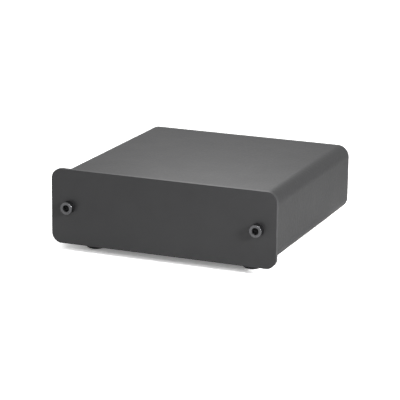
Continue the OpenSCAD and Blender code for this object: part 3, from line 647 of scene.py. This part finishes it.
case = {
    "plateSize": (103, 33), "plateRadius": 4.5, "plateEdge": 0.15, "backShare": 0.6,
    "sleeveRadius": 5.4, "sleeveWall": 1.2, "sleeveRim": 0.12,
    "panelEdge": 0.3, "holeEdge": 0.12, "cornerSteps": 14, "holeSteps": 48, "wideHoleSteps": 64,
    "screwX": 43.25, "shankHole": 1.7,
    "windowSize": (12, 6), "windowRadius": 0.4, "windowRim": 0.35, "windowEdge": 0.12,
}

plateLow, plateHigh = millimetreBox("front_plate")
sleeveLow, sleeveHigh = millimetreBox("case_sleeve")
panelLow, panelHigh = millimetreBox("rear_panel")
middleHeight = middle("front_plate")[2]


def makeFrontPlate(v):
    x, z, r, steps = v["screwX"], middleHeight, v["shankHole"], v["holeSteps"]
    edges = (v["plateEdge"], v["plateEdge"] * v["backShare"], v["holeEdge"])
    patches = plateWithHoles(*v["plateSize"], v["plateRadius"], plateLow[1], plateHigh[1], (0, z),
                             [(-x, z, r, steps), (x, z, r, steps)], edges, v["cornerSteps"])
    # the rim, patch 0, takes the rougher enamel whose darker tone is painted shade that dims its highlight
    makePiece("frontPlate", patches, satinEnamel, "front_plate", inner=shadedRimEnamel, innerPatches=(0,))


def makeSleeve(v):
    # a closed round-cornered outline carried along y, outside and inside, with its bottom strip filled in round
    # the two windows
    front, back, wall = sleeveLow[1], sleeveHigh[1], v["sleeveWall"]
    half = (front + back) / 2
    rows = softened([(0, half), (0, back), (wall, back), (wall, front), (0, front), (0, half)], v["sleeveRim"], 3)
    loops = roundedOutline(sleeveHigh[0] - sleeveLow[0], sleeveHigh[2] - sleeveLow[2], v["sleeveRadius"],
                           rows[:, 0], v["cornerSteps"])
    points, quads = loopSurface(loops, rows[:, 1], (0, (sleeveLow[2] + sleeveHigh[2]) / 2))
    count = loops.shape[1]
    strip = 3 * count // 4 - 1                               # the straight along the bottom
    inner = int(np.argmax(np.abs(np.diff(rows[:, 1]))))      # the long row of the inside
    outer = [0, len(rows) - 2]                               # the two half-long rows of the outside
    keep = np.ones((len(rows) - 1, count), bool)
    keep[[inner, *outer], strip] = False
    patches = [(points, quads[keep.ravel()])]
    grid = points.reshape(*loops.shape[:2], 3)
    a, b = grid[:, strip], grid[:, strip + 1]
    outsideLoops = [np.array([a[0], a[1], b[1], b[0], b[-2], a[-2]])[:, :2]]
    insideLoops = [np.array([a[inner], a[inner + 1], b[inner + 1], b[inner]])[:, :2]]
    bottom, floorTop = sleeveLow[2], sleeveLow[2] + wall
    switch = middle("gain_switch_left")
    rounding = softened([(-v["windowRim"], bottom), (0, bottom), (0, floorTop), (-v["windowRim"], floorTop)],
                        v["windowEdge"], 3)
    for x in (-abs(switch[0]), abs(switch[0])):
        window = roundedOutline(*v["windowSize"], v["windowRadius"], rounding[:, 0], 5, 0.1) + (x, switch[1])
        around = np.concatenate([window, np.broadcast_to(rounding[:, None, 1:], (*window.shape[:2], 1))], axis=-1)
        patches.append((around.reshape(-1, 3), gridFaces(*window.shape[:2]).reshape(-1, 4)))
        outsideLoops.append(window[0])
        insideLoops.append(window[-1])
    patches.append(flatWithHoles(outsideLoops, bottom, axis=2))
    patches.append(flatWithHoles(insideLoops, floorTop, axis=2))
    makePiece("caseSleeve", patches, powderCoat, "case_sleeve")


sockets = {
    "names": ("in_left", "in_right", "out_left", "out_right"),
    "collars": {"left": whiteAcetal, "right": redAcetal},
    "barrelRadius": 4.15, "barrelBore": 3.5, "neckRadius": 3.95, "plateThickness": 0.8, "noseRadius": 3.45,
    "contactRadius": 2.1, "contactBore": 1.6, "contactDepth": 12, "contactRecess": 0.8, "leadIn": 2.4,
    "collarRadius": 5.3, "collarBore": 4.2, "shoulderRadius": 4.85, "panelHole": 4.95, "blockHole": 2.15,
    "tailWidth": 1.6, "tailStations": (0.02, 0.1, 0.4, 0.48),
}
inlet = {"noseRadius": 4.0, "bore": 3.1, "backWall": 1.2, "panelGap": 0.3, "panelHole": 4.2, "pinRadius": 1.0}
earth = {"postRadius": 2.0, "panelHole": 2.2, "threadPitch": 0.7, "threadDepth": 0.16, "tagThickness": 0.6,
         "nutFlats": 7.0, "nutCone": 0.45, "nutRing": 0.03, "nutFace": 0.4, "washerRadius": 4.25, "washerBore": 2.3,
         "knobRadius": 4.75, "knobNeck": 3.99, "knobBore": 2.05, "neckLength": 1, "ridges": 36, "ridgeDepth": 0.22}

socketPlaces = {name: middle(name + "_contact")[0] for name in sockets["names"]}
socketHeight = middle("in_left_collar")[2]
earthPlace = middle("earth_washer")
pinLow, pinHigh = millimetreBox("power_pin")
powerX = middle("power_pin")[0]
powerZ = pinHigh[2] - inlet["pinRadius"]


def makeRearPanel(v):
    x, z, r, steps = v["screwX"], middleHeight, v["shankHole"], v["holeSteps"]
    holes = [(-x, z, r, steps), (x, z, r, steps), (earthPlace[0], earthPlace[2], earth["panelHole"], steps),
             (powerX, powerZ, inlet["panelHole"], v["wideHoleSteps"])]
    holes += [(place, socketHeight, sockets["panelHole"], v["wideHoleSteps"]) for place in socketPlaces.values()]
    patches = plateWithHoles(panelHigh[0] - panelLow[0], panelHigh[2] - panelLow[2], v["sleeveRadius"],
                             panelLow[1], panelHigh[1], (0, z), holes,
                             (v["sleeveRim"], v["panelEdge"], v["holeEdge"]), v["cornerSteps"])
    makePiece("rearPanel", patches, panelCoat, "rear_panel")


makeFrontPlate(case)
makeSleeve(case)
makeRearPanel(case)
print("stage: case")


# ---- screws

screw = {
    "headRadius": 2.75, "headHeight": 3.0, "headBreak": 0.28, "keyFlats": 2.5, "keyDepth": 1.9, "keyCone": 0.45,
    "keyMouth": 1.5, "shankRadius": 1.5, "length": 12, "knurls": 36, "knurlDepth": 0.07, "threadPitch": 0.5,
    "threadDepth": 0.12, "steps": 144,
}


def hexagonRadius(angle, flats):
    # distance from the middle of a hexagon to its side in a direction: half the width over the flats divided by the
    # cosine of the angle from the nearest flat
    return flats / 2 / np.cos((angle + np.pi / 6) % (np.pi / 3) - np.pi / 6)


def threadWave(angle, station, pitch):
    # 0 at a thread's crest and 1 at its root: a cosine round the axis that moves round once a pitch
    return 0.5 - 0.5 * np.cos(angle - 2 * np.pi * station / pitch)


def screwSurface(v, centre, outward):
    # rows round the screw's axis, each at a station above the plate: the recess, whose radius is a share of the
    # hexagon's and ends in a round mouth, then the face ring, the side with its knurl, a cosine round it, and the
    # threaded shank
    top, depth, head, shank, end = v["headHeight"], v["keyDepth"], v["headRadius"], v["shankRadius"], -v["length"]
    angle = turnOf(v["steps"])
    key = np.array([(0, top - depth - v["keyCone"]), (0.9, top - depth), (1, top - depth + 0.1), (1, top - 0.4),
                    (1, top - 0.2)])
    mouth = np.array([(v["keyMouth"] - 0.03, top - 0.07), (v["keyMouth"] + 0.05, top)])
    recess = np.concatenate([key[:, :1] * hexagonRadius(angle, v["keyFlats"]), mouth[:, :1] * np.ones_like(angle)])
    recessY = np.concatenate([key[:, 1:], mouth[:, 1:]]) * np.ones_like(angle)

    side = np.linspace(top - 0.5, 0.3, 7)
    turns = np.arange(-0.6, end + 0.6, -v["threadPitch"] / 4)
    rows = np.concatenate([
        softened([mouth[-1], (head, top), (head, side[0])], v["headBreak"], 5)[:-1],
        np.stack([np.full_like(side, head), side], axis=-1),
        softened([(head, side[-1]), (head, 0), (shank, 0), (shank, turns[0])], (0.1, 0.05), 4)[1:-1],
        np.stack([np.full_like(turns, shank), turns], axis=-1),
        softened([(shank, end + 0.6), (shank, end), (0, end)], 0.3, 4)[1:]])
    radius, station = rows[:, :1] * np.ones_like(angle), rows[:, 1:] * np.ones_like(angle)
    onSide = np.isclose(radius, head) & (station < side[0] + 0.01) & (station > side[-1] - 0.01)
    onThread = np.isclose(radius, shank) & (station < turns[0] - 0.1) & (station > end + 0.7)
    radius = radius - onSide * v["knurlDepth"] * (0.5 - 0.5 * np.cos(v["knurls"] * angle))
    radius = radius - onThread * v["threadDepth"] * threadWave(angle, station, v["threadPitch"])
    a, b = np.flatnonzero(onSide[:, 0])[[0, -1]]
    # the recess and the knurled side take the nearly black finish, which is partly painted shade
    rough = [(recess, recessY), (radius[a:b + 1], station[a:b + 1])]
    smooth = [(radius[:a + 1], station[:a + 1]), (radius[b:], station[b:])]
    return [ringSurface(r, outward * y, centre) for r, y in rough + smooth]


for name, node, face, outward in (("frontScrews", "front_screws", plateLow[1], -1),
                                  ("rearScrews", "rear_screws", panelHigh[1], 1)):
    pair = [surface for side in (-1, 1)
            for surface in screwSurface(screw, np.array([side * case["screwX"], face, middleHeight]), outward)]
    # patches 0, 1, 4 and 5 are each screw's recess and knurled side; their nearly black finish is partly painted shade
    makePiece(name, pair, blackenedSteel, node, sharp=45, inner=roughOxideWithPaintedShade, innerPatches=(0, 1, 4, 5))
print("stage: screws")


# ---- feet

foot = {"topRadius": 5.0, "baseRadius": 3.5, "round": 1.0, "sideEnd": 0.75,
        "corners": ("front_left", "front_right", "rear_left", "rear_right")}


def makeFoot(v, corner):
    # a tapered button turned about z: side line from the top ring to the round lower rim, and a flat base
    low, high = millimetreBox("foot_" + corner)
    profile = softened([(0, high[2]), (v["topRadius"], high[2]), (v["baseRadius"] + v["round"], v["sideEnd"]),
                        (v["baseRadius"], 0), (0, 0)], (0.15, 0.4, 0.4), 5)
    points, faces = turnedSurface(profile, (0, 0, 0))
    points = points[:, [0, 2, 1]] + (*(low + high)[:2] / 2, 0)
    makePiece(joinedName("foot", corner), [(points, faces)], nitrileRubber, "foot_" + corner)


for corner in foot["corners"]:
    makeFoot(foot, corner)
print("stage: feet")


# ---- line sockets

def makeSocket(v, socket):
    axis = (socketPlaces[socket], socketHeight)
    place = (axis[0], 0, axis[1])

    def makePart(part, patches, material):
        makePiece(joinedName(part, socket), patches, material, socket + "_" + part)

    # barrel: a turned tube with a rounded tip, joined to the square plate that stands on the board
    node = socket + "_barrel"
    low, high = millimetreBox(node)
    collarLow, collarHigh = millimetreBox(socket + "_collar")
    start, shoulder, bore, outer, neck = low[1], collarHigh[1], v["barrelBore"], v["barrelRadius"], v["neckRadius"]
    plateBack = start + v["plateThickness"]
    tube = np.concatenate([
        softened([(bore + 0.2, start), (bore, start), (bore, start + 0.4)], 0.08, 3),
        softened([(bore, start + 0.4), (bore, high[1]), (outer, high[1]), (outer, shoulder), (neck, shoulder),
                  (neck, plateBack), (neck + 0.2, plateBack)], (0.12, 0.22, 0.02, 0.02, 0.05))[1:]])
    makePart("barrel", blockWithTube(node, middle(node)[[0, 2]], plateBack, 0.6, (0.4, 0.4), 0.1, tube, axis),
             goldPlate)
    # collar: a moulded ring outside the panel and a shoulder inside its hole
    bore, outer, inside = v["collarBore"], v["collarRadius"], v["shoulderRadius"]
    ring = [(bore, collarLow[1]), (bore, shoulder), (outer, shoulder), (outer, panelHigh[1]), (inside, panelHigh[1]),
            (inside, collarLow[1])]
    makePart("collar", [closedTurned(ring, place, (0.05, 0.12, 0.25, 0.05, 0.05, 0.1))],
             v["collars"][socket.split("_")[1]])
    # body: the moulded block on the board and the nose that carries the contact, with a cone to lead the pin in
    node = socket + "_body"
    low, high = millimetreBox(node)
    start, tip, hole, bore, outer = low[1], high[1], v["blockHole"], v["contactBore"], v["noseRadius"]
    blockEnd, contactTip = plateBack - v["plateThickness"], tip - v["contactRecess"]
    nose = softened([(hole + 0.2, start), (hole, start), (hole, contactTip), (bore, contactTip), (v["leadIn"], tip),
                     (outer, tip), (outer, blockEnd), (outer + 0.3, blockEnd)], (0.08, 0.02, 0.02, 0.12, 0.2, 0.08))
    makePart("body", blockWithTube(node, middle(node)[[0, 2]], blockEnd, 0.7, (0.6, 0.6), 0.25, nose, axis),
             filledPolyamide)
    # contact: a turned tube, closed behind its bore, and a flat tail down to the board with a fan at both ends
    low, high = millimetreBox(socket + "_contact")
    boreEnd, outer = high[1] - v["contactDepth"], v["contactRadius"]
    tube = softened([(0, boreEnd - 0.5), (bore, boreEnd), (bore, high[1]), (outer, high[1]), (outer, low[1]),
                     (0, low[1])], (0.05, 0.1, 0.15, 0.1))
    loops = roundedOutline(v["tailWidth"], high[2] - low[2] - outer, 0.3, [0.15, 0, 0, 0.15], 3, 0.1)
    tail = loopSurface(loops, low[1] + np.array(v["tailStations"]), (axis[0], (low[2] + axis[1]) / 2))
    count = loops.shape[1]
    fan = np.stack([np.zeros(count - 2, int), np.arange(1, count - 1), np.arange(2, count)], axis=-1)
    makePart("contact", [turnedSurface(tube, place, 72), tail, (tail[0][:count], fan), (tail[0][-count:], fan)],
             goldPlate)


for socket in sockets["names"]:
    makeSocket(sockets, socket)
print("stage: line sockets")


# ---- power inlet

def makeInlet(v):
    # a moulded box behind the panel that goes on into a round nose with a deep bore
    low, high = millimetreBox("power_inlet")
    back, bottom, outer = panelLow[1] - v["panelGap"], low[1] + v["backWall"], v["noseRadius"]
    nose = softened([(0, bottom), (v["bore"], bottom), (v["bore"], high[1]), (outer, high[1]), (outer, back),
                     (outer + 0.25, back)], (0.1, 0.2, 0.12, 0.08))
    patches = blockWithTube("power_inlet", (powerX, middle("power_inlet")[2]), back, 0.7, (0.6, 0.25), (0.3, 0.12),
                            nose, (powerX, powerZ))
    makePiece("powerInlet", patches, filledPolyamide, "power_inlet")
    pin = softened([(0, pinLow[1]), (v["pinRadius"], pinLow[1]), (v["pinRadius"], pinHigh[1]), (0, pinHigh[1])],
                   (0.1, 0.4), 6)
    makePiece("powerPin", [turnedSurface(pin, (powerX, 0, powerZ), 48)], nickelPlate, "power_pin")


makeInlet(inlet)
print("stage: power inlet")


# ---- earth terminal

def makeEarth(v):
    place = (earthPlace[0], 0, earthPlace[2])
    # post: a hexagon head inside, then a thread
    low, high = millimetreBox("earth_post")
    flats, post, headEnd, tip = v["nutFlats"] / 2, v["postRadius"], panelLow[1] - v["tagThickness"], high[1]
    stations = np.arange(headEnd + 1.0, tip - 0.45, v["threadPitch"] / 8)
    profile = np.concatenate([
        softened([(0, low[1]), (flats, low[1]), (flats, headEnd), (post, headEnd), (post, headEnd + 0.8)],
                 (0.3, 0.2, 0.1), 4)[:-1],
        np.stack([np.full_like(stations, post), stations], axis=-1),
        softened([(post, tip - 0.42), (post, tip), (0, tip)], 0.3, 4)])

    def headThenThread(r, angle, y):
        # the head's radius is scaled to the hexagon's, and the thread's is cut by its wave
        r = np.where((y < headEnd + 0.001) & (r > post + 0.05), r * hexagonRadius(angle, v["nutFlats"]) / flats, r)
        onThread = (y > headEnd + 0.95) & (y < tip - 0.4)
        return r - onThread * v["threadDepth"] * threadWave(angle, y, v["threadPitch"])

    makePiece("earthPost", [turnedSurface(profile, place, radiusAt=headThenThread)], goldPlate, "earth_post", sharp=50)
    # nut: six flats cut at both ends by a cone, which meets a flat where the cone's radius is the hexagon's
    low, high = millimetreBox("earth_nut")
    angle = turnOf(144)
    hexagon, around = hexagonRadius(angle, v["nutFlats"]), np.ones_like(angle)
    rise = v["nutCone"] * (hexagon - flats) / (v["nutFlats"] / math.sqrt(3) - flats) + 0.02
    face, ring, hole = flats - v["nutFace"], (flats - v["nutRing"]) * around, post + 0.02
    bore = softened([(face, high[1]), (hole, high[1]), (hole, low[1]), (face, low[1])], 0.2, 3)
    radius = np.concatenate([[face * around, ring, hexagon, hexagon, ring], bore[:, :1] * around])
    station = np.concatenate([[low[1] * around, low[1] * around, low[1] + rise, high[1] - rise, high[1] * around],
                              bore[:, 1:] * around])
    makePiece("earthNut", [ringSurface(radius, station, place)], goldPlate, "earth_nut", sharp=25)
    # washer: a flat ring with soft rims
    low, high = millimetreBox("earth_washer")
    ring = [(v["washerBore"], low[1]), (v["washerBore"], high[1]), (v["washerRadius"], high[1]),
            (v["washerRadius"], low[1])]
    makePiece("earthWasher", [closedTurned(ring, place, (0.08, 0.08, 0.18, 0.18))], goldPlate, "earth_washer",
              "earth_washer")
    # knob: a neck, then a drum whose ridges are the size of a cosine round it to the power 0.6, and fade out at both
    # chamfers
    low, high = millimetreBox("earth_knob")
    bore, outer, neck, drum = v["knobBore"], v["knobRadius"], v["knobNeck"], low[1] + v["neckLength"]
    ring = [(bore, high[1]), (outer, high[1]), (outer, drum), (neck, drum), (neck, low[1]), (bore, low[1])]

    def knurled(r, angle, y):
        fade = np.clip((np.minimum(y - drum, high[1] - y) - 0.2) / 0.29, 0, 1)
        ridge = np.abs(np.cos(v["ridges"] / 2 * angle)) ** 0.6
        return r - (r > outer - 0.05) * fade * v["ridgeDepth"] * (1 - ridge)

    knob = closedTurned(ring, place, (0.3, 0.35, 0.35, 0.1, 0.1, 0.1), v["ridges"] * 8, knurled, 4)
    makePiece("earthKnob", [knob], goldPlate, "earth_knob", "earth_knob", sharp=42)


makeEarth(earth)
print("stage: earth terminal")


# ---- print on the rear panel

labels = {
    "words": [("IN", "in_left", "in_right"), ("OUT", "out_left", "out_right")], "wordHeight": 29.6,
    "marks": [("L", "in_left"), ("R", "in_right"), ("L", "out_left"), ("R", "out_right")], "markHeight": 12.2,
    "letterHeight": 2.3, "capShare": 1.38, "thickness": 0.03,    # a font's size is 1.38 times its capitals' height
}


def makePrint(v):
    # letters as a flat curve made a mesh, a few hundredths thick, standing on the rear face and read from behind
    texts = [(word, (socketPlaces[a] + socketPlaces[b]) / 2, v["wordHeight"]) for word, a, b in v["words"]]
    texts += [(mark, socketPlaces[socket], v["markHeight"]) for mark, socket in v["marks"]]
    texts += [("GND", earthPlace[0], v["wordHeight"]), ("DC", powerX, v["wordHeight"])]
    work = bmesh.new()
    for word, x, z in texts:
        curve = bpy.data.curves.new("letters", "FONT")
        curve.body = word
        curve.size = v["letterHeight"] * v["capShare"] / 1000
        curve.align_x = "CENTER"
        curve.align_y = "CENTER"
        curve.extrude = v["thickness"] / 2000
        holder = newObject("letters", curve)
        bpy.context.view_layer.update()
        mesh = bpy.data.meshes.new_from_object(holder.evaluated_get(bpy.context.evaluated_depsgraph_get()))
        place = Matrix.Translation((x / 1000, (panelHigh[1] + v["thickness"] / 2) / 1000, z / 1000))
        mesh.transform(place @ Matrix.Rotation(math.pi, 4, "Z") @ Matrix.Rotation(math.pi / 2, 4, "X"))
        work.from_mesh(mesh)
        bpy.data.objects.remove(holder)
        bpy.data.curves.remove(curve)
        bpy.data.meshes.remove(mesh)
    bmesh.ops.remove_doubles(work, verts=work.verts, dist=0.0000001)
    bmesh.ops.recalc_face_normals(work, faces=work.faces)
    mesh = bpy.data.meshes.new("panelPrint")
    work.to_mesh(mesh)
    work.free()
    mesh.materials.append(ink)
    piece = newObject("panelPrint", mesh)
    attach(piece, "chassis")
    print("  piece panelPrint", len(mesh.polygons), "faces")


makePrint(labels)
print("stage: print")


# ---- finishes of the nodes that keep their own shape

finishes = {
    "left_rail": extrudedAluminium, "right_rail": extrudedAluminium, "board_screws": zincPlate,
    "circuit_board": laminate, "power_spring": nickelPlate, "earth_tag": goldPlate,
    "gain_switch_left": filledPolyamide, "gain_switch_right": filledPolyamide,
    "gain_lever_left": whiteAcetal, "gain_lever_right": whiteAcetal,
    "electrolytic_capacitors": vinylFilm, "film_capacitors": polyesterBox, "amplifier_chips": chipEpoxy,
    "voltage_regulators": regulatorEpoxy, "resistors": resistorLacquer, "diodes": diodeEpoxy,
}
for node, material in finishes.items():
    dress(node, material)
print("stage: finishes,", len(finishes), "nodes")
